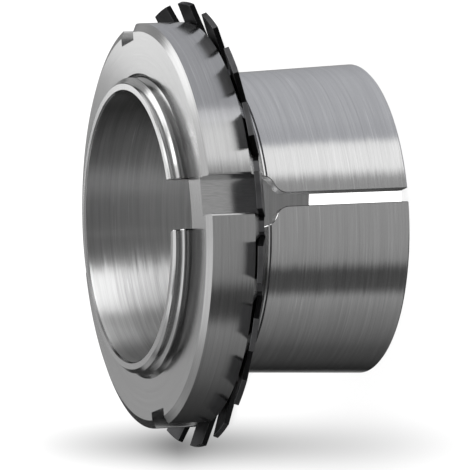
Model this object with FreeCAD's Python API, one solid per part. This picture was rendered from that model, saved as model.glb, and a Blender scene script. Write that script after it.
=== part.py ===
import FreeCAD, Part
import math
import os

# Bearing adapter sleeve for a 50 mm shaft, standing on its big end.
# +Z runs along the shaft axis towards the threaded end. The slit and the keyway face -Y.

# Sleeve, mm
shaft_dia = 50.0
sleeve_length = 45.0
big_end_wall = 3.85
taper_on_dia = 1.0 / 12.0
thread_wall = 2.5
thread_length = 16.2
relief_depth = 1.2
relief_length = 2.35
relief_step = 0.25
relief_land = 0.28
end_chamfer = 1.1
edge_break = 0.3
slit_width = 2.47
keyway_width = 9.25
keyway_past_thread = 1.1
keyway_run_in = 4.7

# Lock nut, mm
nut_ring = 10.0
nut_width = 11.0
nut_setback = 3.1
nut_running_clearance = 0.05
nut_face_chamfer_r = 1.55
nut_face_chamfer_z = 0.7
nut_back_chamfer_r = 3.75
nut_back_chamfer_deg = 30.0
nut_bore_chamfer = 0.7
spanner_slot_count = 4
spanner_slot_width = 7.0
spanner_slot_depth = 3.2
slot_edge_break = 0.35

# Lock washer, mm
washer_thickness = 1.0
washer_ring = 6.0
washer_bore_clearance = 0.25
tooth_count = 19
tooth_tip_width = 6.85
tooth_flare = 1.0
tooth_overhang = 3.43
tooth_bend_clearance = 0.25
tooth_bend_ease_deg = 6.8
tab_side_clearance = 0.6
tab_tip_clearance = 0.7
gap_corner_r = 0.6

# Sizes that follow from the ones above
bore_r = shaft_dia / 2.0
big_end_r = bore_r + big_end_wall
taper_on_r = taper_on_dia / 2.0
thread_r = bore_r + thread_wall
thread_start_z = sleeve_length - thread_length
taper_top_z = thread_start_z - relief_length
taper_top_r = big_end_r - taper_top_z * taper_on_r
land_r = taper_top_r - relief_step
land_top_z = taper_top_z + relief_step + relief_land
relief_r = thread_r - relief_depth
keyway_end_z = thread_start_z - keyway_past_thread
nut_r = thread_r + nut_ring
nut_top_z = sleeve_length - nut_setback
nut_base_z = nut_top_z - nut_width
nut_bore_r = thread_r + nut_running_clearance
nut_back_face_r = nut_r - nut_back_chamfer_r
washer_top_z = nut_base_z
washer_base_z = washer_top_z - washer_thickness
washer_bore_r = thread_r + washer_bore_clearance
washer_root_r = thread_r + washer_ring
tooth_root_width = tooth_tip_width + tooth_flare
tooth_tip_r = nut_r + tooth_overhang
tooth_bend_r = nut_back_face_r + tooth_bend_clearance
tooth_bend_deg = nut_back_chamfer_deg - tooth_bend_ease_deg
past = sleeve_length + nut_r


def revolved(profile):
    """A solid of revolution round Z from (r, z) points."""
    points = [FreeCAD.Vector(r, 0, z) for r, z in profile]
    points.append(points[0])
    face = Part.Face(Part.makePolygon(points))
    return face.revolve(FreeCAD.Vector(0, 0, 0), FreeCAD.Vector(0, 0, 1), 360)


def block(x0, x1, y0, y1, z0, z1):
    """An upright box between two corners."""
    return Part.makeBox(x1 - x0, y1 - y0, z1 - z0, FreeCAD.Vector(x0, y0, z0))


def turned_about_z(shape, degrees):
    """A copy turned about the sleeve's axis."""
    copy = shape.copy()
    copy.rotate(FreeCAD.Vector(0, 0, 0), FreeCAD.Vector(0, 0, 1), degrees)
    return copy


def sleeve_blank():
    """The turned sleeve before it is slit."""
    return revolved([
        (bore_r + edge_break, 0.0),
        (big_end_r - edge_break, 0.0),
        (big_end_r - edge_break * taper_on_r, edge_break),
        (taper_top_r, taper_top_z),
        (land_r, taper_top_z + relief_step),
        (land_r, land_top_z),
        (relief_r, land_top_z + relief_depth * 0.6),
        (relief_r, thread_start_z - relief_depth * 0.5),
        (thread_r, thread_start_z + relief_depth * 0.5),
        (thread_r, sleeve_length - end_chamfer),
        (thread_r - end_chamfer, sleeve_length),
        (bore_r + edge_break, sleeve_length),
        (bore_r, sleeve_length - edge_break),
        (bore_r, edge_break),
    ])


def keyway_side(side):
    """Edges of one side of the keyway and slit, from the threaded end to the big end."""
    wide = keyway_width / 2.0
    narrow = slit_width / 2.0
    z0 = keyway_end_z
    z1 = z0 - keyway_run_in
    drop = wide - narrow
    turn = 2.0 * math.atan2(drop, keyway_run_in)
    radius = keyway_run_in / (2.0 * math.sin(turn))
    half = turn / 2.0

    def at(x, z):
        return FreeCAD.Vector(side * x, -past, z)

    middle = at((wide + narrow) / 2.0, (z0 + z1) / 2.0)
    bulge_x = radius * (1.0 - math.cos(half))
    bulge_z = radius * math.sin(half)
    edges = []
    edges.append(Part.makeLine(at(wide, sleeve_length + past), at(wide, z0)))
    upper = Part.Arc(at(wide, z0), at(wide - bulge_x, z0 - bulge_z), middle)
    lower = Part.Arc(middle, at(narrow + bulge_x, z1 + bulge_z), at(narrow, z1))
    edges.append(upper.toShape())
    edges.append(lower.toShape())
    edges.append(Part.makeLine(at(narrow, z1), at(narrow, -past)))
    return edges


def slit_cutter():
    """The slit and its wide keyway, cut straight through one wall of the sleeve."""
    right = keyway_side(1)
    left = keyway_side(-1)
    top = Part.makeLine(left[0].Vertexes[0].Point, right[0].Vertexes[0].Point)
    bottom = Part.makeLine(left[-1].Vertexes[-1].Point, right[-1].Vertexes[-1].Point)
    edges = right + left + [top, bottom]
    wire = Part.Wire(Part.__sortEdges__(edges))
    return Part.Face(wire).extrude(FreeCAD.Vector(0, past, 0))


def adapter_sleeve():
    return sleeve_blank().cut(slit_cutter())


def spanner_slot():
    """One hook spanner slot with broken outer edges, at -Y."""
    half = spanner_slot_width / 2.0
    floor_y = -(nut_r - spanner_slot_depth)
    edge_y = -math.sqrt(nut_r ** 2 - half ** 2)
    slot = block(-half, half, -past, floor_y, nut_base_z - 1.0, nut_top_z + 1.0)
    profile = [
        (-half - 2.0 * slot_edge_break, edge_y - slot_edge_break),
        (-half, edge_y + slot_edge_break),
        (half, edge_y + slot_edge_break),
        (half + 2.0 * slot_edge_break, edge_y - slot_edge_break),
    ]
    points = [FreeCAD.Vector(x, y, nut_base_z - 1.0) for x, y in profile]
    points.append(points[0])
    flare = Part.Face(Part.makePolygon(points)).extrude(FreeCAD.Vector(0, 0, nut_width + 2.0))
    return slot.fuse(flare)


def lock_nut():
    back_rise = nut_back_chamfer_r * math.tan(math.radians(nut_back_chamfer_deg))
    nut = revolved([
        (nut_bore_r + nut_bore_chamfer, nut_base_z),
        (nut_back_face_r, nut_base_z),
        (nut_r, nut_base_z + back_rise),
        (nut_r, nut_top_z - nut_face_chamfer_z),
        (nut_r - nut_face_chamfer_r, nut_top_z),
        (nut_bore_r + nut_bore_chamfer, nut_top_z),
        (nut_bore_r, nut_top_z - nut_bore_chamfer),
        (nut_bore_r, nut_base_z + nut_bore_chamfer),
    ])
    slot = spanner_slot()
    for k in range(spanner_slot_count):
        nut = nut.cut(turned_about_z(slot, k * 360.0 / spanner_slot_count))
    return nut


def washer_blank():
    """The dished washer before its gaps are cut, with the tooth ring bent up to the nut."""
    bend = math.radians(tooth_bend_deg)
    tip_rise = (tooth_tip_r - tooth_bend_r) * math.tan(bend)
    back_shift = washer_thickness * math.tan(bend / 2.0)
    tip_z = washer_top_z + tip_rise
    back_tip_r = tooth_tip_r + washer_thickness * math.sin(bend)
    return revolved([
        (washer_bore_r, washer_base_z),
        (tooth_bend_r + back_shift, washer_base_z),
        (back_tip_r, tip_z - washer_thickness * math.cos(bend)),
        (tooth_tip_r, tip_z),
        (tooth_bend_r, washer_top_z),
        (washer_bore_r, washer_top_z),
    ])


def tooth_gap():
    """The V-shaped gap between two teeth, centred on -Y."""
    step = math.pi / tooth_count
    z0 = washer_base_z - 1.0
    reach = past
    slope = (tooth_root_width - tooth_tip_width) / 2.0 / (tooth_tip_r - washer_root_r)

    def side(sign, radius):
        """A point on a tooth's flank at this distance along the tooth."""
        half = tooth_root_width / 2.0 - slope * (radius - washer_root_r)
        along = math.sqrt(radius ** 2 - half ** 2)
        x = sign * (math.sin(step) * along - math.cos(step) * half)
        y = -(math.cos(step) * along + math.sin(step) * half)
        return FreeCAD.Vector(x, y, z0)

    root_left = side(-1, washer_root_r)
    root_right = side(1, washer_root_r)
    floor = FreeCAD.Vector(0, -washer_root_r, z0)
    edges = [
        Part.Arc(root_left, floor, root_right).toShape(),
        Part.makeLine(root_right, side(1, reach)),
        Part.makeLine(side(1, reach), side(-1, reach)),
        Part.makeLine(side(-1, reach), root_left),
    ]
    gap = Part.Face(Part.Wire(edges)).extrude(FreeCAD.Vector(0, 0, past))
    corners = [e for e in gap.Edges if is_gap_corner(e, root_left, root_right)]
    return gap.makeFillet(gap_corner_r, corners)


def is_gap_corner(edge, left, right):
    """True for the two upright edges at the gap's floor."""
    if abs(edge.Vertexes[0].Z - edge.Vertexes[-1].Z) < 1.0:
        return False
    point = edge.Vertexes[0].Point
    near_left = math.hypot(point.x - left.x, point.y - left.y) < 0.01
    near_right = math.hypot(point.x - right.x, point.y - right.y) < 0.01
    return near_left or near_right


def washer_tab():
    """The inner tab that runs in the keyway."""
    half = keyway_width / 2.0 - tab_side_clearance
    tip_y = -(bore_r + tab_tip_clearance)
    return block(-half, half, -(washer_bore_r + 1.0), tip_y, washer_base_z, washer_top_z)


def lock_washer():
    washer = washer_blank()
    gap = tooth_gap()
    pitch = 360.0 / tooth_count
    for k in range(tooth_count):
        washer = washer.cut(turned_about_z(gap, (k + 0.5) * pitch))
    return washer.fuse(washer_tab()).removeSplitter()


def main():
    os.makedirs("parts", exist_ok=True)
    adapter_sleeve().exportStep("parts/adapter_sleeve.step")
    lock_nut().exportStep("parts/lock_nut.step")
    lock_washer().exportStep("parts/lock_washer.step")


main()
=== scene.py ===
import bpy
import bmesh
import math
from mathutils import Matrix, Vector


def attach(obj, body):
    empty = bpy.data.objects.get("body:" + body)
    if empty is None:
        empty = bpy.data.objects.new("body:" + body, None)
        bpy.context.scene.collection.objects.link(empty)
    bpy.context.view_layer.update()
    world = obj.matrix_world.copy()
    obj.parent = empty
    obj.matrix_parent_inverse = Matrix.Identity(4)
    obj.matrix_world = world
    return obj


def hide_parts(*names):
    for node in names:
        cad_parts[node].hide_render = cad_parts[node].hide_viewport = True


# Bearing adapter sleeve with lock nut and tab washer, standing on its big end.
# The threaded end is up, and the slit and the keyway face -Y.
# Sizes of the pieces are in millimetres and scaled once. The rest is in metres, unless a comment says mm.
# A compass angle is in degrees from -Y towards +X.

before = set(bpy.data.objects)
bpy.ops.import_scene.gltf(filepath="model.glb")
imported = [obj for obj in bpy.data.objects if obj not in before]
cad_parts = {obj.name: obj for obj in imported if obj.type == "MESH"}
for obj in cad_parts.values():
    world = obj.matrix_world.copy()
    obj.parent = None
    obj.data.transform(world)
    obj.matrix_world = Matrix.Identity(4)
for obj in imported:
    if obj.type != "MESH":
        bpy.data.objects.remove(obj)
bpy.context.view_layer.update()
MM = 0.001

# Shader helpers


def new_material(name):
    mat = bpy.data.materials.new(name)
    mat.use_nodes = True
    mat.node_tree.nodes.clear()
    return mat, mat.node_tree


def node(tree, kind, **settings):
    made = tree.nodes.new(kind)
    for key, value in settings.items():
        setattr(made, key, value)
    return made


def put(tree, value, socket):
    """Links an output to a socket, or sets the socket's own value."""
    if isinstance(value, bpy.types.NodeSocket):
        tree.links.new(value, socket)
    else:
        socket.default_value = value


def maths(tree, operation, *values):
    made = node(tree, "ShaderNodeMath", operation=operation)
    for i, value in enumerate(values):
        put(tree, value, made.inputs[i])
    return made.outputs[0]


def times(tree, a, b):
    return maths(tree, "MULTIPLY", a, b)


def plus(tree, a, b):
    return maths(tree, "ADD", a, b)


def vector(tree, x, y, z):
    made = node(tree, "ShaderNodeCombineXYZ")
    for i, value in enumerate((x, y, z)):
        put(tree, value, made.inputs[i])
    return made.outputs[0]


def places(tree, kind="Object"):
    """The place of a shaded point, whole and as (x, y, z)."""
    whole = node(tree, "ShaderNodeTexCoord").outputs[kind]
    split = node(tree, "ShaderNodeSeparateXYZ")
    tree.links.new(whole, split.inputs[0])
    return whole, split.outputs


def noise(tree, coords, scale, detail, roughness):
    made = node(tree, "ShaderNodeTexNoise")
    put(tree, coords, made.inputs["Vector"])
    made.inputs["Scale"].default_value = scale
    made.inputs["Detail"].default_value = detail
    made.inputs["Roughness"].default_value = roughness
    return made.outputs["Fac"]


def spread(tree, value, low, high, to_low, to_high, kind="LINEAR"):
    """Maps low..high to to_low..to_high, clamped."""
    made = node(tree, "ShaderNodeMapRange", interpolation_type=kind)
    put(tree, value, made.inputs["Value"])
    limits = {"From Min": low, "From Max": high, "To Min": to_low, "To Max": to_high}
    for name, number in limits.items():
        made.inputs[name].default_value = number
    return made.outputs["Result"]


def varied(tree, pattern, low, high):
    """Maps the middle of a noise pattern, where most of it lies, to low..high."""
    return spread(tree, pattern, 0.3, 0.7, low, high)


def tinted(tree, colour, strength):
    """A colour times a number from the pattern."""
    made = node(tree, "ShaderNodeMix", data_type="RGBA", blend_type="MULTIPLY")
    made.inputs["Factor"].default_value = 1.0
    made.inputs["A"].default_value = (*colour, 1.0)
    level = node(tree, "ShaderNodeCombineColor")
    for i in range(3):
        tree.links.new(strength, level.inputs[i])
    tree.links.new(level.outputs[0], made.inputs["B"])
    return made.outputs["Result"]


def grey(shade):
    return (shade, shade, shade)


def mixed_shader(tree, factor, first, second):
    """The first shader where the factor is 0, and the second where it is 1."""
    made = node(tree, "ShaderNodeMixShader")
    tree.links.new(factor, made.inputs[0])
    tree.links.new(first, made.inputs[1])
    tree.links.new(second, made.inputs[2])
    return made.outputs[0]


# Metals


def metal(name, metallic=1.0):
    """A material of one principled shader. Returns the material, its tree and the shader."""
    mat, tree = new_material(name)
    out = node(tree, "ShaderNodeOutputMaterial")
    bsdf = node(tree, "ShaderNodeBsdfPrincipled")
    bsdf.inputs["Metallic"].default_value = metallic
    tree.links.new(bsdf.outputs[0], out.inputs["Surface"])
    return mat, tree, bsdf


def turned_steel(name, shade, axial, across, streaks, wobble=0.0):
    """Lathe-turned steel: fine rings round Z.
    axial and across are the highlight's widths along the axis (or radius) and along the rings.
    streaks is how much the rings differ in brightness, and wobble how far each leans to one side."""
    mat, tree, bsdf = metal(name)
    # The shader's two widths multiply to roughness ** 4, and their ratio is 1 - 0.9 * anisotropic
    rough = (axial * across) ** 0.25
    bsdf.inputs["Anisotropic"].default_value = min(1.0, (1.0 - across / axial) / 0.9)
    bsdf.inputs["Anisotropic Rotation"].default_value = 0.25
    tangent = node(tree, "ShaderNodeTangent", direction_type="RADIAL", axis="Z")
    tree.links.new(tangent.outputs[0], bsdf.inputs["Tangent"])
    _, (x, y, z) = places(tree)
    radius = maths(tree, "SQRT", plus(tree, times(tree, x, x), times(tree, y, y)))
    east = maths(tree, "DIVIDE", x, radius)
    north = maths(tree, "DIVIDE", y, radius)
    # Height and radius together, so that upright and flat faces both get rings
    along = maths(tree, "SUBTRACT", z, times(tree, radius, 0.73))

    def rings(per_metre, round_scale, detail, roughness=0.5):
        """Noise that runs in rings: fine along the axis, long round it."""
        place = vector(tree, times(tree, east, round_scale), times(tree, north, round_scale),
                       times(tree, along, per_metre))
        return noise(tree, place, 1.0, detail, roughness)

    fine = rings(9000.0, 1.0, 3.0, 0.6)
    broad = rings(1400.0, 1.1, 2.0)
    line = rings(2600.0, 1.6, 1.0)
    scratch = rings(3300.0, 2.5, 1.0)
    level = plus(tree, times(tree, fine, 0.5), times(tree, broad, 0.5))
    level = varied(tree, level, 1.0 - streaks, 1.0 + streaks * 0.6)
    level = plus(tree, level, spread(tree, scratch, 0.66, 0.74, 0.0, streaks * 0.8))
    tree.links.new(tinted(tree, grey(shade), level), bsdf.inputs["Base Color"])
    tree.links.new(varied(tree, broad, rough * 0.93, rough * 1.07), bsdf.inputs["Roughness"])
    raised = node(tree, "ShaderNodeBump")
    raised.inputs["Strength"].default_value = 0.35
    raised.inputs["Distance"].default_value = 0.00001
    tree.links.new(fine, raised.inputs["Height"])
    # Each ring leans a little to one side, so that the edges of the reflections are ragged
    lean = plus(tree, times(tree, line, 0.6), times(tree, fine, 0.4))
    lean = varied(tree, lean, -wobble, wobble)
    sideways = vector(tree, times(tree, times(tree, north, -1.0), lean), times(tree, east, lean), 0.0)
    turned = node(tree, "ShaderNodeVectorTransform", vector_type="VECTOR",
                  convert_from="OBJECT", convert_to="WORLD")
    tree.links.new(sideways, turned.inputs[0])
    total = node(tree, "ShaderNodeVectorMath", operation="ADD")
    tree.links.new(raised.outputs[0], total.inputs[0])
    tree.links.new(turned.outputs[0], total.inputs[1])
    unit = node(tree, "ShaderNodeVectorMath", operation="NORMALIZE")
    tree.links.new(total.outputs[0], unit.inputs[0])
    tree.links.new(unit.outputs[0], bsdf.inputs["Normal"])
    return mat


def milled(name, shade, rough, marks_across, marks_up):
    """Steel cut by a milling cutter or a saw: an even sheen with faint straight marks."""
    mat, tree, bsdf = metal(name)
    _, (x, y, z) = places(tree)
    place = vector(tree, times(tree, x, marks_across), times(tree, y, marks_across), times(tree, z, marks_up))
    marks = noise(tree, place, 1.0, 3.0, 0.6)
    tree.links.new(tinted(tree, grey(shade), varied(tree, marks, 0.88, 1.08)), bsdf.inputs["Base Color"])
    tree.links.new(varied(tree, marks, rough * 0.9, rough * 1.1), bsdf.inputs["Roughness"])
    return mat


def black_oxide(name, shade, rough):
    """Blackened sheet steel with a faint mottle."""
    mat, tree, bsdf = metal(name, 0.8)
    bsdf.inputs["Specular IOR Level"].default_value = 0.3
    bsdf.inputs["Specular Tint"].default_value = (*grey(0.4), 1.0)
    where, _ = places(tree)
    mottle = noise(tree, where, 260.0, 4.0, 0.6)
    colour = (shade, shade, shade * 1.03)
    tree.links.new(tinted(tree, colour, varied(tree, mottle, 0.8, 1.25)), bsdf.inputs["Base Color"])
    tree.links.new(varied(tree, mottle, rough * 0.85, rough * 1.15), bsdf.inputs["Roughness"])
    return mat


sleeve_steel = turned_steel("turned_sleeve_steel", 0.615, 0.08, 0.016, streaks=0.20, wobble=0.014)
# The bore's steel is darker than the outside's: painted shade inside the sleeve's bore
bore_steel_painted_shade = turned_steel("bored_sleeve_painted_shade_steel", 0.420, 0.42, 0.03, streaks=0.25, wobble=0.03)
sleeve_face = turned_steel("faced_sleeve_steel", 0.605, 0.03, 0.02, streaks=0.08)
# The broken edges' steel is far darker than the sleeve's: painted shade along the cut and at the bore's top
# chamfer
edge_steel_painted_dark = turned_steel("shaded_broken_edges", 0.222, 0.08, 0.02, streaks=0.05)
nut_steel = turned_steel("turned_nut_steel", 0.455, 0.09, 0.026, streaks=0.17, wobble=0.012)
nut_face = turned_steel("faced_nut_steel", 0.565, 0.035, 0.025, streaks=0.10)
oxide = black_oxide("black_oxide_sheet", 0.100, 0.32)
oxide_tip = black_oxide("black_oxide_tip", 0.110, 0.17)
# The teeth's side walls are nearly black: painted shade between the teeth
oxide_flank_painted_shade = black_oxide("black_oxide_painted_shade_flanks", 0.012, 0.35)
milled_steel = milled("milled_steel", 0.400, 0.32, 900.0, 5000.0)
slot_steel = milled("slot_steel", 0.500, 0.20, 4000.0, 500.0)

# Sizes of the sleeve, mm, as in the part's source

BORE_R = 25.0
BIG_R = BORE_R + 3.85
LENGTH = 45.0
TAPER_ON_R = 1.0 / 24.0
THREAD_R = BORE_R + 2.5
THREAD_START = LENGTH - 16.2
RELIEF_DEPTH = 1.2
RELIEF_STEP = 0.25
END_CHAMFER = 1.1
EDGE = 0.3
WIDE, NARROW = 9.25 / 2.0, 2.47 / 2.0   # half widths of the keyway and the slit
KEY_END = THREAD_START - 1.1
KEY_RUN = 4.7

TAPER_TOP = THREAD_START - 2.35
TAPER_TOP_R = BIG_R - TAPER_TOP * TAPER_ON_R
LAND_TOP = TAPER_TOP + RELIEF_STEP + 0.28
RELIEF_R = THREAD_R - RELIEF_DEPTH
THREAD_LO = THREAD_START - RELIEF_DEPTH / 2.0
CHAMFER_LO = LENGTH - END_CHAMFER
# The outside below the thread, from the foot up: taper, small step, land and relief groove
OUTSIDE = [
    (BIG_R - EDGE * TAPER_ON_R, EDGE),
    (TAPER_TOP_R, TAPER_TOP),
    (TAPER_TOP_R - RELIEF_STEP, TAPER_TOP + RELIEF_STEP),
    (TAPER_TOP_R - RELIEF_STEP, LAND_TOP),
    (RELIEF_R, LAND_TOP + RELIEF_DEPTH * 0.6),
    (RELIEF_R, THREAD_LO),
]

# What the meshes add to the solids, mm

PITCH, THREAD_DEPTH = 2.0, 1.2
CREST_HALF = PITCH / 16.0
THREAD_PHASE = 43.10          # height of a crest at -Y
BREAK = 0.12                  # small broken edges along the cut
COLUMNS = 288                 # of faces, round the axis
# Heights in one pitch where the thread's rows run: crest, flank, root, flank
THREAD_ROWS = (-CREST_HALF, 0.0, CREST_HALF, 0.30, 0.48, 0.65, 0.82, 1.0, 1.18, 1.35, 1.52, 1.70)

# Meshes


def piece_from(name, bm, materials, body, replaced, sharp=20.0):
    """Ends a bmesh in millimetres as a piece that stands for a CAD node."""
    bmesh.ops.remove_doubles(bm, verts=bm.verts, dist=2e-4)
    bmesh.ops.dissolve_degenerate(bm, edges=bm.edges, dist=1e-6)
    bmesh.ops.recalc_face_normals(bm, faces=bm.faces)
    bmesh.ops.scale(bm, vec=(MM, MM, MM), verts=bm.verts)
    mesh = bpy.data.meshes.new(name)
    bm.to_mesh(mesh)
    bm.free()
    piece = bpy.data.objects.new(name, mesh)
    bpy.context.scene.collection.objects.link(piece)
    for mat in materials:
        mesh.materials.append(mat)
    for face in mesh.polygons:
        face.use_smooth = True
    mesh.set_sharp_from_angle(angle=math.radians(sharp))
    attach(piece, body)
    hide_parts(replaced)
    return piece


def at(r, turn, z):
    """A point at a radius, an angle from -Y in radians and a height."""
    return r * math.sin(turn), -r * math.cos(turn), z


def way_round(share, half, r):
    """The angle from -Y at a share of the way round, from one side of an opening at -Y to the other."""
    gap = math.asin(half / r)
    return gap + share * (2.0 * math.pi - 2.0 * gap)


def opening_half_width(z):
    """Half the width of the cut in the sleeve's wall at a height."""
    if z >= KEY_END:
        return WIDE
    if z <= KEY_END - KEY_RUN:
        return NARROW
    drop = WIDE - NARROW
    radius = KEY_RUN / (2.0 * math.sin(2.0 * math.atan2(drop, KEY_RUN)))
    if z > KEY_END - KEY_RUN / 2.0:
        return WIDE - radius + math.sqrt(radius ** 2 - (KEY_END - z) ** 2)
    return NARROW + radius - math.sqrt(radius ** 2 - (z - KEY_END + KEY_RUN) ** 2)


def thread_drop(offset):
    """How far the thread's surface lies below its crest, by the distance along Z from a crest's middle."""
    across = abs((offset + PITCH / 2.0) % PITCH - PITCH / 2.0)
    flank = (across - CREST_HALF) * math.sqrt(3.0)
    return min(max(flank, 0.0), THREAD_DEPTH)


def thread_heights(low, high):
    """Heights at -Y of the thread's rows, from a turn or more below low up to high."""
    z = THREAD_PHASE - PITCH * math.ceil((THREAD_PHASE - low) / PITCH + 1.0)
    heights = []
    while z < high:
        heights += [z + step for step in THREAD_ROWS]
        z += PITCH
    return heights


def outside_radius(z):
    """The radius of the outside at a height below the thread."""
    for (r0, z0), (r1, z1) in zip(OUTSIDE, OUTSIDE[1:]):
        if z0 <= z <= z1:
            r = r0 + (r1 - r0) * (z - z0) / (z1 - z0)
    return r


def sleeve_rows():
    """Rows of the sleeve's surface, over the big end, up the outside and down the bore, and how many
    of them lie between the foot and the thread. Each row is (kind, r, z): a ring, or a helical row."""
    fixed = [z for _, z in OUTSIDE]
    # The keyway's curve takes its own rows, apart from those that nearly fall on a fixed one
    curve = [KEY_END - KEY_RUN * k / 14.0 for k in range(15)]
    curve = [z for z in curve if min(abs(z - other) for other in fixed) > 0.04]
    low = sorted({4.0, 8.0, 12.0, 16.0, 20.0, *fixed, *curve})
    rows = [("ring", BORE_R + EDGE, 0.0), ("ring", BIG_R - EDGE, 0.0)]
    rows += [("ring", outside_radius(z), z) for z in low]
    rows += [("helix", THREAD_R, z) for z in thread_heights(THREAD_LO, LENGTH)]
    rows += [("ring", THREAD_R - END_CHAMFER, LENGTH), ("ring", BORE_R + EDGE, LENGTH)]
    rows += [("ring", BORE_R, LENGTH - EDGE)]
    rows += [("ring", BORE_R, z) for z in reversed(low)]
    return rows, len(low)


ROWS, LOW_COUNT = sleeve_rows()


def sleeve_point(kind, r, z, share):
    """A point of the sleeve's surface, at a share of the way round from one side of the cut."""
    if kind == "helix":
        rise = PITCH * way_round(share, WIDE, THREAD_R) / (2.0 * math.pi)
        z = min(max(z + rise, THREAD_LO), LENGTH)
        r = THREAD_R - thread_drop(z - THREAD_PHASE - rise)
        r = min(r, RELIEF_R + (z - THREAD_LO), THREAD_R - max(0.0, z - CHAMFER_LO))
    return r, z


def sleeve_column(share, inset, shrink):
    """One column of the sleeve's grid: inset moves it off the cut's wall, shrink draws its profile in."""
    points = []
    for kind, r, z in ROWS:
        r, z = sleeve_point(kind, r, z, share)
        half = opening_half_width(z) + inset
        outer = r > BORE_R + EDGE + 0.01 or kind == "helix"
        if shrink:
            r = r - BREAK if outer else r + BREAK
            z = min(max(z, BREAK), LENGTH - BREAK)
        points.append(at(r, way_round(share, half, r), z))
    return points


def sleeve_mesh():
    """The sleeve with its thread: a grid of columns round the axis, closed by the two walls of the cut."""
    materials = [sleeve_steel, milled_steel, bore_steel_painted_shade, sleeve_face, edge_steel_painted_dark]
    outer, cut_wall, bore, end_face, edges = range(5)
    bm = bmesh.new()
    shares = [0.0] + [k / COLUMNS for k in range(COLUMNS + 1)] + [1.0]
    grid = []
    for i, share in enumerate(shares):
        on_wall = i in (0, len(shares) - 1)
        column = sleeve_column(share, 0.0 if on_wall else BREAK, on_wall)
        grid.append([bm.verts.new(p) for p in column])
    count = len(ROWS)
    bore_from = count - LOW_COUNT - 1
    kinds = [outer] * count
    kinds[bore_from - 2] = end_face
    # The bore's top chamfer takes the edge steel, painted darker as shade
    kinds[bore_from - 1] = edges
    kinds[bore_from:] = [bore] * (count - bore_from)
    for a, b in zip(grid, grid[1:]):
        beside_cut = a is grid[0] or b is grid[-1]
        for i in range(count):
            k = (i + 1) % count
            face = bm.faces.new((a[i], a[k], b[k], b[i]))
            # The faces beside the cut take the edge steel, painted darker as shade
            face.material_index = edges if beside_cut else kinds[i]
    first = 2
    for column in (grid[0], grid[-1]):
        quads = [(column[0], column[1], column[first], column[count - 1])]
        for i in range(LOW_COUNT - 1):
            outside = (column[first + i], column[first + i + 1])
            quads.append((*outside, column[count - 2 - i], column[count - 1 - i]))
        for quad in quads:
            bm.faces.new(quad).material_index = cut_wall
        rest = column[first + LOW_COUNT - 1:count - LOW_COUNT + 1]
        kept = [v for v, w in zip(rest, rest[1:]) if (v.co - w.co).length > 1e-4] + [rest[-1]]
        side = bm.faces.new(kept)
        side.material_index = cut_wall
        bmesh.ops.triangulate(bm, faces=[side])
    return piece_from("sleeve_with_thread", bm, materials, "sleeve", "adapter_sleeve")


def turned_ring(bm, profile):
    """A closed profile of (r, z) turned about Z."""
    rows = []
    for r, z in profile:
        rows.append([bm.verts.new(at(r, 2.0 * math.pi * j / COLUMNS, z)) for j in range(COLUMNS)])
    for a, b in zip(rows, rows[1:] + rows[:1]):
        for j in range(COLUMNS):
            k = (j + 1) % COLUMNS
            bm.faces.new((a[j], a[k], b[k], b[j]))


def temporary(name, bm):
    """The bmesh as an object, which cut removes again."""
    mesh = bpy.data.meshes.new(name)
    bm.to_mesh(mesh)
    bm.free()
    made = bpy.data.objects.new(name, mesh)
    bpy.context.scene.collection.objects.link(made)
    return made


def cut(target, cutter):
    """The target's mesh with the cutter taken away, as a bmesh. Both objects are removed."""
    step = target.modifiers.new("cut", "BOOLEAN")
    step.operation = "DIFFERENCE"
    step.solver = "EXACT"
    step.object = cutter
    done = bpy.data.meshes.new_from_object(target.evaluated_get(bpy.context.evaluated_depsgraph_get()))
    bm = bmesh.new()
    bm.from_mesh(done)
    bpy.data.objects.remove(target)
    bpy.data.objects.remove(cutter)
    bpy.data.meshes.remove(done)
    return bm


# Sizes of the nut, mm

NUT_R = THREAD_R + 10.0
NUT_HI = LENGTH - 3.1
NUT_LO = NUT_HI - 11.0
NUT_BORE = THREAD_R + 0.05
NUT_MINOR = 26.42             # radius of the inside thread's crests
MOUTH_R = NUT_BORE + 0.7
NUT_BACK_R = NUT_R - 3.75
NUT_BACK_DEG = 30.0
NUT_FACE_R = NUT_R - 1.55
NUT_FACE_LO = NUT_HI - 0.7
SLOTS, SLOT_HALF, SLOT_FLOOR = 4, 3.5, NUT_R - 3.2
# The round on a slot's edge and the shallow facet beside it, from the sharp corner outwards
SLOT_EDGE = [(0.0, -0.32), (0.03, -0.20), (0.10, -0.12), (0.80, 0.082), (1.2, 0.198), (1.2, 8.0)]


def slot_cutters():
    """One cutter for all the spanner slots."""
    bm = bmesh.new()
    corner = math.sqrt(NUT_R ** 2 - SLOT_HALF ** 2)
    side = [(SLOT_HALF + x, corner + y) for x, y in SLOT_EDGE]
    outline = [(-SLOT_HALF, SLOT_FLOOR), (SLOT_HALF, SLOT_FLOOR)] + side
    outline += [(-x, y) for x, y in reversed(side)]
    for k in range(SLOTS):
        turn = 2.0 * math.pi * k / SLOTS
        c, s = math.cos(turn), math.sin(turn)
        low = [bm.verts.new((c * x + s * y, s * x - c * y, NUT_LO - 1.0)) for x, y in outline]
        high = [bm.verts.new((c * x + s * y, s * x - c * y, NUT_HI + 1.0)) for x, y in outline]
        bm.faces.new(low)
        bm.faces.new(high)
        for i in range(len(outline)):
            j = (i + 1) % len(outline)
            bm.faces.new((low[i], low[j], high[j], high[i]))
    bmesh.ops.recalc_face_normals(bm, faces=bm.faces)
    return temporary("slots", bm)


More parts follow.
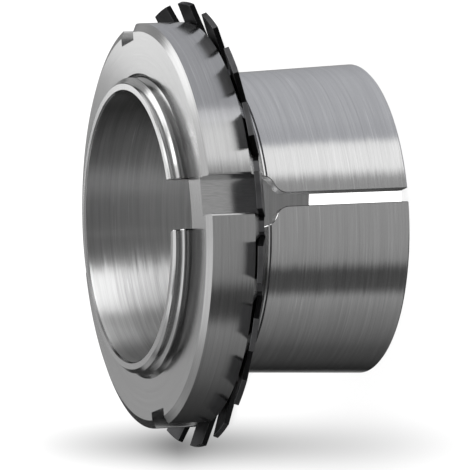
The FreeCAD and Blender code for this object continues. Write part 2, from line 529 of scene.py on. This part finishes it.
def nut_thread(bm):
    """The nut's inside thread, between the rings where the solid's bore chamfers start."""
    rows = [[(MOUTH_R, NUT_HI)] * (COLUMNS + 1)]
    for height in reversed(thread_heights(NUT_LO, NUT_HI)):
        row = []
        for j in range(COLUMNS + 1):
            rise = PITCH * j / COLUMNS
            z = min(max(height + rise, NUT_LO), NUT_HI)
            drop = min(thread_drop(z - THREAD_PHASE - rise), NUT_BORE - NUT_MINOR)
            row.append((max(NUT_BORE - drop, MOUTH_R - (NUT_HI - z), MOUTH_R - (z - NUT_LO)), z))
        rows.append(row)
    rows.append([(MOUTH_R, NUT_LO)] * (COLUMNS + 1))
    grid = []
    for row in rows:
        grid.append([bm.verts.new(at(r, 2.0 * math.pi * j / COLUMNS, z)) for j, (r, z) in enumerate(row)])
    for a, b in zip(grid, grid[1:]):
        for j in range(COLUMNS):
            bm.faces.new((a[j], a[j + 1], b[j + 1], b[j]))


def nut_mesh():
    """The nut with its thread: a turned ring with the slots cut out, and its bore made anew."""
    materials = [nut_steel, slot_steel, nut_face]
    _, in_slot, flat = range(3)
    back_top = NUT_LO + (NUT_R - NUT_BACK_R) * math.tan(math.radians(NUT_BACK_DEG))
    body = bmesh.new()
    # The points inside a straight stretch only split its long faces
    turned_ring(body, [
        (MOUTH_R, NUT_LO), (31.0, NUT_LO), (NUT_BACK_R, NUT_LO), (NUT_R, back_top), (NUT_R, 37.0),
        (NUT_R, NUT_FACE_LO), (NUT_FACE_R, NUT_HI), (32.0, NUT_HI), (MOUTH_R, NUT_HI),
    ])
    bmesh.ops.recalc_face_normals(body, faces=body.faces)
    bm = cut(temporary("nut_body", body), slot_cutters())
    bm.normal_update()
    bore_faces = [f for f in bm.faces if all(math.hypot(v.co.x, v.co.y) < MOUTH_R + 0.05 for v in f.verts)]
    bmesh.ops.delete(bm, geom=bore_faces, context="FACES")
    for face in bm.faces:
        normal, centre = face.normal, face.calc_center_median()
        away = math.hypot(centre.x, centre.y)
        radial = abs(normal.x * centre.x + normal.y * centre.y) / max(away, 1e-9)
        sideways = math.sqrt(max(0.0, 1.0 - radial ** 2 - normal.z ** 2))
        slot_floor = abs(normal.z) < 0.01 and away < SLOT_FLOOR + 1.2
        if sideways > 0.5 or slot_floor:
            face.material_index = in_slot
        elif abs(normal.z) > 0.95:
            face.material_index = flat
    nut_thread(bm)
    return piece_from("nut_with_thread", bm, materials, "nut", "lock_nut")


# Sizes of the washer, mm

WASHER_TOP, WASHER_THICK = NUT_LO, 1.0
WASHER_BORE = THREAD_R + 0.25
TEETH = 19
TOOTH_ROOT, TOOTH_TIP = THREAD_R + 6.0, NUT_R + 3.43
TIP_HALF, ROOT_HALF = 6.85 / 2.0, 7.85 / 2.0
FOOT_ROUND = 0.6
BEND_R = NUT_BACK_R + 0.25
BEND = math.radians(NUT_BACK_DEG - 6.8)
BEND_RADIUS = 1.2             # of the upper face; the solid has a sharp bend
BEND_START = BEND_R - BEND_RADIUS * math.tan(BEND / 2.0)
TAB_HALF, TAB_TIP = WIDE - 0.6, BORE_R + 0.7


def dish(r):
    """(radius, height, slope) of a point on the washer's upper face. r is its radius in the flat sheet."""
    if r <= BEND_START:
        return r, WASHER_TOP, 0.0
    arc = (r - BEND_START) / BEND_RADIUS
    turned = min(arc, BEND)
    radius = BEND_START + BEND_RADIUS * math.sin(turned)
    height = WASHER_TOP + BEND_RADIUS * (1.0 - math.cos(turned))
    straight = max(0.0, arc - BEND) * BEND_RADIUS
    return radius + straight * math.cos(BEND), height + straight * math.sin(BEND), turned


def tooth_half(r):
    """Half a tooth's width at a radius, with the small round at its foot."""
    half = ROOT_HALF - (ROOT_HALF - TIP_HALF) * (r - TOOTH_ROOT) / (TOOTH_TIP - TOOTH_ROOT)
    up = TOOTH_ROOT + FOOT_ROUND - r
    if up > 0.0:
        half += FOOT_ROUND - math.sqrt(max(0.0, FOOT_ROUND ** 2 - up ** 2))
    return half


def washer_mesh():
    """The washer: a flat ring, nineteen bent teeth and the inner tab, each as strips of sheet."""
    materials = [oxide, oxide_tip, oxide_flank_painted_shade]
    plain, tip, flank = range(3)
    bm = bmesh.new()
    bend_end = BEND_START + BEND_RADIUS * BEND
    straight = (TOOTH_TIP - BEND_R) / math.cos(BEND) - (BEND_R - BEND_START)
    ring_rows = [WASHER_BORE, 29.6, 31.5, TOOTH_ROOT]
    tooth_rows = [TOOTH_ROOT + rise for rise in (0.0, 0.02, 0.08, 0.16)] + [BEND_START]
    tooth_rows += [BEND_START + BEND_RADIUS * BEND * k / 5.0 for k in range(1, 6)]
    tooth_rows += [bend_end + straight * k / 3.0 for k in range(1, 4)]
    across = [k / 4.0 for k in range(-4, 5)]
    made = {}

    def corner(r, turn, under):
        """A point on the sheet's upper face, or under it on the lower face. Each is made once."""
        radius, height, lean = dish(r)
        if under:
            radius += WASHER_THICK * math.sin(lean)
            height -= WASHER_THICK * math.cos(lean)
        key = (round(radius, 5), round(turn, 6), under)
        if key not in made:
            made[key] = bm.verts.new(at(radius, turn, height))
        return made[key]

    def sheet(path_a, path_b):
        """Both faces of a strip between two rows of (r, turn)."""
        for (a, b), (d, c) in zip(zip(path_a, path_a[1:]), zip(path_b, path_b[1:])):
            bm.faces.new([corner(*p, False) for p in (a, b, c, d)])
            bm.faces.new([corner(*p, True) for p in (d, c, b, a)])

    def wall(path, material=plain):
        """The edge of the sheet along a row of (r, turn)."""
        for a, b in zip(path, path[1:]):
            face = bm.faces.new((corner(*a, False), corner(*b, False), corner(*b, True), corner(*a, True)))
            face.material_index = material

    foot = math.asin(tooth_half(TOOTH_ROOT) / TOOTH_ROOT)
    tab_turn = math.asin(TAB_HALF / WASHER_BORE)
    pitch = 2.0 * math.pi / TEETH
    turns = [-pitch / 2.0, -tab_turn] + [math.asin(t * math.sin(foot)) for t in across]
    turns += [tab_turn, pitch / 2.0]
    for k in range(TEETH):
        middle = k * pitch
        ring = [[(r, middle + t) for t in turns] for r in ring_rows]
        for a, b in zip(ring, ring[1:]):
            sheet(a, b)
        for part in (ring[-1][:3], ring[-1][-3:]):
            wall(part)
        tooth = []
        for r in tooth_rows:
            radius = dish(r)[0]
            half = tooth_half(radius)
            tooth.append([(r, middle + math.asin(t * half / radius)) for t in across])
        for a, b in zip(tooth, tooth[1:]):
            sheet(a, b)
        # The teeth's side walls take the nearly black oxide, painted shade
        wall([row[0] for row in tooth], flank)
        wall([row[-1] for row in tooth], flank)
        wall(tooth[-1], tip)
        inner = ring[0]
        if k == 0:
            wall(inner[:2])
            wall(inner[-2:])
            tab_foot = inner[1:-1]
        else:
            wall(inner)
    steps = 3
    tab = [tab_foot]
    for i in range(1, steps + 1):
        line = []
        for r, turn in tab_foot:
            x, y = r * math.sin(turn), r * math.cos(turn)
            y += (TAB_TIP - y) * i / steps
            line.append((math.hypot(x, y), math.atan2(x, y)))
        tab.append(line)
    for a, b in zip(tab, tab[1:]):
        sheet(b, a)
    wall([line[0] for line in tab])
    wall([line[-1] for line in tab])
    wall(tab[-1])
    piece = piece_from("washer_sheet", bm, materials, "washer", "lock_washer", sharp=35.0)
    edges = piece.modifiers.new("broken_edges", "BEVEL")
    edges.width = 0.09 * MM
    edges.segments = 2
    edges.limit_method = "ANGLE"
    edges.angle_limit = math.radians(50)
    edges.harden_normals = False
    return piece


# Studio

# Brightness of the walls round the object, by compass angle
WALLS = [
    (-180, 0.40), (-171, 0.12), (-163, 0.01), (-120, 0.11), (-84, 0.33), (-69, 0.46),
    (-62, 0.10), (-47, 0.10), (-40, 0.46), (-28, 0.52), (-4, 0.54), (22, 0.54), (29, 1.57),
    (49, 1.55), (54, 0.70), (110, 0.65), (125, 0.60), (150, 0.46), (162, 0.34), (180, 0.40),
]
WALLS_FADE = (-13.0, -5.0)    # elevations between which the walls give way to the ceiling
COOL_WALLS = (54, 150)        # compass angles between which the walls are a little blue
COOL = 1.07

# Softboxes above the walls: compass angles from and to, elevations from and to, softness, brightness
SOFTBOXES = [
    (28, 66, 8, 30, 4, 0.45),
    (66, 124, -4, 28, 5, 0.75),
    (-125, -54, 15, 26, 5, 0.28),
    (-95, -54, 26, 42, 5, 0.38),
    (-54, 26, 14, 26, 5, 0.28),
    (-54, 58, 26, 42, 5, 0.40),
    (-190, -150, 46, 72, 5, 0.25),
    (60, 104, 44, 60, 5, 1.5),
    (98, 126, 28, 48, 5, 0.5),
    (122, 162, 30, 53, 4, 2.1),
    (138, 157, 8, 28, 3, 0.35),
    (-170, -95, 26, 55, 4, 0.40),
    (-190, 190, 55, 100, 4, 1.0),
    (155, 184, 9, 26, 4, 0.43),
    (-176, -162, 20, 32, 3, 0.22),
    (157, 172, -9, 5, 3, 0.28),
    (-158, -138, 6, 24, 3, 0.36),
    (-113, -84, 45, 58, 4, 0.55),
]
CEILING = 0.04
FILL = 0.55                   # what rays other than reflections see all round


def band(tree, value, low, high, soft):
    """1 between two limits and 0 outside them, with soft edges."""
    rising = spread(tree, value, low - soft, low + soft, 0.0, 1.0, "SMOOTHSTEP")
    falling = spread(tree, value, high - soft, high + soft, 1.0, 0.0, "SMOOTHSTEP")
    return times(tree, rising, falling)


def wall_ramp(tree, compass):
    """The walls' colour by compass angle."""
    ramp = node(tree, "ShaderNodeValToRGB")
    ramp.color_ramp.interpolation = "LINEAR"
    stops = ramp.color_ramp.elements
    while len(stops) > 1:
        stops.remove(stops[-1])
    for i, (angle, level) in enumerate(WALLS):
        share = angle / 360.0 + 0.5
        stop = stops[0] if i == 0 else stops.new(share)
        stop.position = share
        cool = COOL if COOL_WALLS[0] <= angle <= COOL_WALLS[1] else 1.0
        stop.color = (level, level * (0.8 + 0.2 * cool), level * cool, 1.0)
    tree.links.new(plus(tree, maths(tree, "DIVIDE", compass, 360.0), 0.5), ramp.inputs[0])
    return ramp.outputs[0]


def studio_world():
    """The studio that reflections see, an even fill for all other light, and white for the camera."""
    world = bpy.data.worlds.new("studio")
    bpy.context.scene.world = world
    world.use_nodes = True
    world.cycles.sampling_method = "NONE"
    tree = world.node_tree
    tree.nodes.clear()
    out = node(tree, "ShaderNodeOutputWorld")
    _, (x, y, z) = places(tree, "Generated")
    compass = times(tree, maths(tree, "ARCTAN2", x, times(tree, y, -1.0)), 180.0 / math.pi)
    height = times(tree, maths(tree, "ARCSINE", z), 180.0 / math.pi)
    above = spread(tree, height, *WALLS_FADE, 0.0, CEILING)
    for left, right, low, high, soft, level in SOFTBOXES:
        box = times(tree, band(tree, compass, left, right, soft), band(tree, height, low, high, soft))
        above = plus(tree, above, times(tree, box, level))
    light = node(tree, "ShaderNodeVectorMath", operation="MULTIPLY_ADD")
    tree.links.new(wall_ramp(tree, compass), light.inputs[0])
    tree.links.new(spread(tree, height, *WALLS_FADE, 1.0, 0.0), light.inputs[1])
    tree.links.new(above, light.inputs[2])
    studio = node(tree, "ShaderNodeBackground")
    tree.links.new(light.outputs[0], studio.inputs["Color"])
    plain = node(tree, "ShaderNodeBackground")
    plain.inputs["Color"].default_value = (1, 1, 1, 1)
    plain.inputs["Strength"].default_value = FILL
    white = node(tree, "ShaderNodeBackground")
    white.inputs["Color"].default_value = (1, 1, 1, 1)
    path = node(tree, "ShaderNodeLightPath")
    seen = mixed_shader(tree, path.outputs["Is Glossy Ray"], plain.outputs[0], studio.outputs[0])
    final = mixed_shader(tree, path.outputs["Is Camera Ray"], seen, white.outputs[0])
    tree.links.new(final, out.inputs["Surface"])


FLOOR_SIZE = 6.0
FLOOR_DROP = 0.00005          # keeps the floor clear of the sleeve's foot
FLOOR_GREY = 0.8
DISC_R = BORE_R * MM          # the floor inside the bore glows white, painted light in place of the sleeve's shadow there
DISC_SOFT = 0.0001

# A painted soft long shadow in the floor's colour beside the nut: its line is x = STREAK_X + STREAK_LEAN * y
STREAK_X, STREAK_LEAN = -0.0427, 0.122
STREAK_WIDTH, HALO_WIDTH = 0.0046, 0.0105
STREAK_START, STREAK_PEAK, STREAK_END = -0.070, 0.113, 0.228
STREAK_DARK, CORE_DARK, HALO_SHARE = 0.66, 0.08, 0.08
CORE_LENGTH = 0.017


def painted_floor_shadow(tree, x, y):
    """The painted shadow, as the share of the floor's colour taken away."""
    def bell(value, middle, width):
        off = maths(tree, "DIVIDE", maths(tree, "SUBTRACT", value, middle), width)
        return maths(tree, "EXPONENT", times(tree, times(tree, off, off), -1.0))

    off = maths(tree, "SUBTRACT", x, times(tree, y, STREAK_LEAN))
    near = spread(tree, y, STREAK_START, STREAK_PEAK, 0.0, STREAK_DARK)
    far = spread(tree, y, STREAK_PEAK, STREAK_END, 1.0, 0.0)
    long = times(tree, near, far)
    core = times(tree, bell(y, STREAK_PEAK, CORE_LENGTH), CORE_DARK)
    shade = times(tree, bell(off, STREAK_X, STREAK_WIDTH), plus(tree, core, long))
    halo = times(tree, bell(off, STREAK_X, HALO_WIDTH), times(tree, long, HALO_SHARE))
    return plus(tree, shade, halo)


def floor():
    """The pale floor, with a painted shadow streak beside the nut and a white glowing disc inside the bore.
    Reflections and rays from below pass through it.
    """
    bpy.ops.mesh.primitive_plane_add(size=FLOOR_SIZE, location=(0, 0, -FLOOR_DROP))
    plane = bpy.context.object
    plane.name = "floor"
    mat, tree = new_material("pale_floor")
    out = node(tree, "ShaderNodeOutputMaterial")
    path = node(tree, "ShaderNodeLightPath")
    side = node(tree, "ShaderNodeNewGeometry")
    place, (x, y, _) = places(tree)
    reach = node(tree, "ShaderNodeVectorMath", operation="LENGTH")
    tree.links.new(place, reach.inputs[0])
    # The floor's colour is darkened here by the painted shadow streak, not by a lamp
    lit = maths(tree, "SUBTRACT", 1.0, painted_floor_shadow(tree, x, y))
    matte = node(tree, "ShaderNodeBsdfDiffuse")
    tree.links.new(tinted(tree, grey(FLOOR_GREY), lit), matte.inputs["Color"])
    # A white glow inside the bore's circle: painted light that takes away the sleeve's shadow on the floor
    glow = node(tree, "ShaderNodeEmission")
    glow.inputs["Color"].default_value = (1, 1, 1, 1)
    disc = spread(tree, reach.outputs["Value"], DISC_R - DISC_SOFT, DISC_R + DISC_SOFT, 1.0, 0.0)
    tree.links.new(disc, glow.inputs["Strength"])
    shown = node(tree, "ShaderNodeAddShader")
    tree.links.new(matte.outputs[0], shown.inputs[0])
    tree.links.new(glow.outputs[0], shown.inputs[1])
    clear = node(tree, "ShaderNodeBsdfTransparent")
    away = maths(tree, "MAXIMUM", path.outputs["Is Glossy Ray"], side.outputs["Backfacing"])
    final = mixed_shader(tree, away, shown.outputs[0], clear.outputs[0])
    tree.links.new(final, out.inputs["Surface"])
    plane.data.materials.append(mat)
    return plane


# The camera looks along VIEW. Its picture is rolled, so that the sleeve's axis lies level.
VIEW = Vector((0.131552, 0.934487, -0.3308))
VIEW_RIGHT = Vector((-0.08194, -0.322308, -0.943082))
VIEW_DOWN = VIEW.cross(VIEW_RIGHT)
CAMERA_AT = Vector((-161.507, -1131.026, 424.347)) * MM
LENS = 499.23
VIEW_COMPASS = 8.0            # an upright wall facing angle a mirrors what lies at 2a + 8
NEAR_WALL, FAR_WALL = 0.0, math.pi


def lamp_object(name, data, piece):
    """A lamp that lights this piece alone."""
    lamp = bpy.data.objects.new(name, data)
    bpy.context.scene.collection.objects.link(lamp)
    group = bpy.data.collections.new(lamp.name + "_lights")
    group.objects.link(piece)
    lamp.light_linking.receiver_collection = group
    return lamp


def sun(name, energy, angle_deg, travel, piece):
    data = bpy.data.lights.new(name, "SUN")
    data.energy = energy
    data.angle = math.radians(angle_deg)
    lamp = lamp_object(name, data, piece)
    lamp.rotation_mode = "QUATERNION"
    lamp.rotation_quaternion = travel.to_track_quat("-Z", "Y")
    lamp.visible_glossy = False


def area_lamp(name, piece, middle, across, up, width, height, strength):
    """A rectangular lamp that only this piece mirrors. strength is its brightness.
    It shines against the direction across x up."""
    data = bpy.data.lights.new(name, "AREA")
    data.shape = "RECTANGLE"
    data.size, data.size_y = width, height
    data.energy = strength * math.pi * width * height
    lamp = lamp_object(name, data, piece)
    turn = Matrix((across, up, across.cross(up))).transposed().to_4x4()
    lamp.matrix_world = Matrix.Translation(middle) @ turn
    lamp.visible_camera = False
    lamp.visible_diffuse = False


def face_lamps(nut, sleeve):
    """The lamps 15 cm behind the object that the two flat faces mirror. The nut's lamp lies diagonally."""
    # Nearly the way in which a level face mirrors the camera's rays
    towards = Vector((0.1316, 0.9363, 0.3256))
    side = Vector((towards.y, -towards.x, 0.0)).normalized()
    up = side.cross(towards)
    centre = Vector((0.0, 0.0, NUT_HI * MM)) + towards * 0.15
    falling, rising = (side - up).normalized(), (side + up).normalized()
    lamps = (
        ("nut_face_key", nut, falling, rising, (-0.031, 0.042), (0.0194, 0.046), 0.75),
        ("end_face_key", sleeve, side, up, (0.005, 0.045), (-0.0029, 0.030), 0.76),
    )
    for name, piece, across, along, (left, right), (low, high), strength in lamps:
        middle = centre + across * (left + right) / 2.0 + along * (low + high) / 2.0
        area_lamp(name, piece, middle, across * -1.0, along, right - left, high - low, strength)


def near_lamp(name, piece, wall_r, wall_side, left, right, heights, strength):
    """A small upright area lamp that is mirrored in a round wall of one piece.
    wall_side is NEAR_WALL or FAR_WALL, as the camera sees the wall.
    left and right are (compass angle from the wall, distance in mm), and heights are in mm."""
    ends = []
    for angle, away in (left, right):
        wall = math.radians(angle - VIEW_COMPASS) / 2.0 + wall_side
        start = Vector(at(wall_r, wall, 0.0))
        heading = Vector(at(1.0, math.radians(angle), 0.0))
        ends.append((start + heading * away) * MM)
    low, high = (height * MM for height in heights)
    along = ends[1] - ends[0]
    up = Vector((0.0, 0.0, 1.0))
    middle = (ends[0] + ends[1]) / 2.0 + up * (low + high) / 2.0
    area_lamp(name, piece, middle, along.normalized(), up, along.length, high - low, strength)


def camera():
    data = bpy.data.cameras.new("camera")
    data.sensor_fit = "HORIZONTAL"
    data.sensor_width = 36.0
    data.lens = LENS
    data.clip_start, data.clip_end = 0.1, 20.0
    cam = bpy.data.objects.new("camera", data)
    bpy.context.scene.collection.objects.link(cam)
    turn = Matrix((VIEW_RIGHT, -VIEW_DOWN, -VIEW)).transposed().to_4x4()
    cam.matrix_world = Matrix.Translation(CAMERA_AT) @ turn
    bpy.context.scene.camera = cam


sleeve_piece = sleeve_mesh()
nut_piece = nut_mesh()
washer_mesh()

studio_world()
ground = floor()
face_lamps(nut_piece, sleeve_piece)
# Heights of the near lamps, mm
OVER_RIM = (45.6, 76.0)
BESIDE_NUT = (1.0, 30.0)
near_lamp("bore_key", sleeve_piece, BORE_R, FAR_WALL, (27, 48), (68, 46), OVER_RIM, strength=9.8)
near_lamp("bore_fill", sleeve_piece, BORE_R, FAR_WALL, (68, 46), (106, 72), OVER_RIM, strength=2.5)
near_lamp("nut_fill", nut_piece, NUT_R, NEAR_WALL, (51, 80), (59.5, 80), BESIDE_NUT, strength=0.68)
# The sun shines along the view, so that the object's own shadow falls behind it
sun("floor_sun", energy=8.8, angle_deg=3, travel=VIEW, piece=ground)
camera()

view = bpy.context.scene.view_settings
view.view_transform = "Standard"
